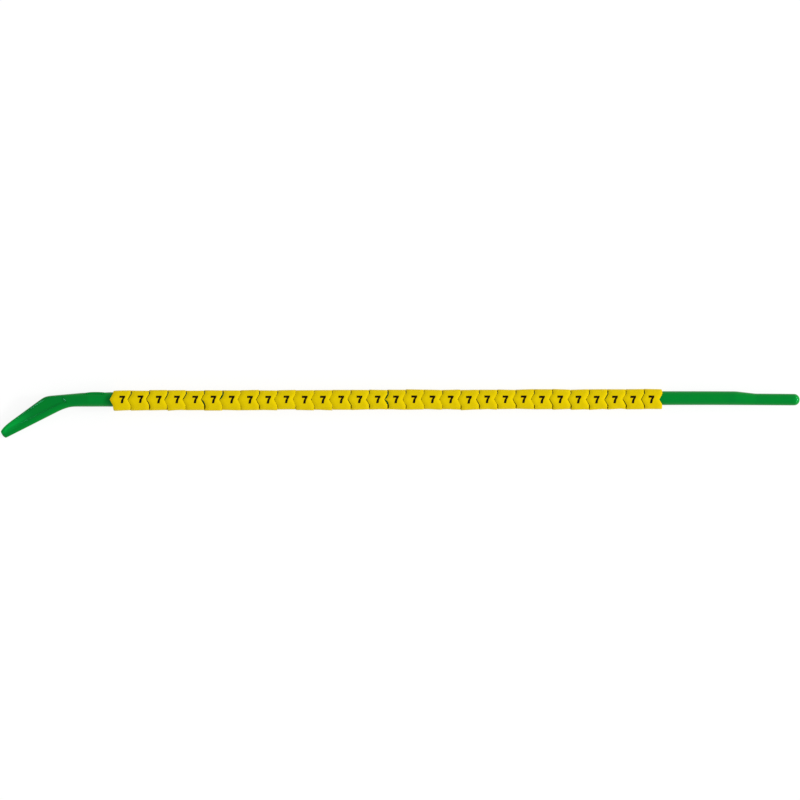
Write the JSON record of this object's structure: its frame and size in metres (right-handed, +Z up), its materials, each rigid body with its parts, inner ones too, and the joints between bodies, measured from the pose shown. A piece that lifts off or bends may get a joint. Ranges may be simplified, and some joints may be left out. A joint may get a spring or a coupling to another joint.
{
  "type": "cable marker wand",
  "caption": "Moulded wand with a bent, pocketed nose and a thin tail, loaded with a row of soft tubular number markers whose pointed and notched ends nest.",
  "frame": {"origin": "on the table, under the middle of the whole part's box", "axes": "+X along the wand from the bent nose to the thin tail, +Y away from the side the nose bends to, +Z up from the table, on the side the numbers face"},
  "size_m": [0.2182, 0.0127, 0.0053],
  "materials": {
    "wand": "satin",
    "marker": "satin",
    "legend": "matte"
  },
  "bodies": {
    "wand": {"wand": "wand"},
    "marker_row": {"marker_01": "marker", "marker_02": "marker", "marker_03": "marker", "marker_04": "marker", "marker_05": "marker", "marker_06": "marker", "marker_07": "marker", "marker_08": "marker", "marker_09": "marker", "marker_10": "marker", "marker_11": "marker", "marker_12": "marker", "marker_13": "marker", "marker_14": "marker", "marker_15": "marker", "marker_16": "marker", "marker_17": "marker", "marker_18": "marker", "marker_19": "marker", "marker_20": "marker", "marker_21": "marker", "marker_22": "marker", "marker_23": "marker", "marker_24": "marker", "marker_25": "marker", "marker_26": "marker", "marker_27": "marker", "marker_28": "marker", "marker_29": "marker", "marker_30": "marker"}
  },
  "joints": [
    {"name": "row_slide", "type": "slide", "parent": "wand", "child": "marker_row", "axis": [1, 0, 0], "range_m": [-0.0014, 0.0376]}
  ]
}
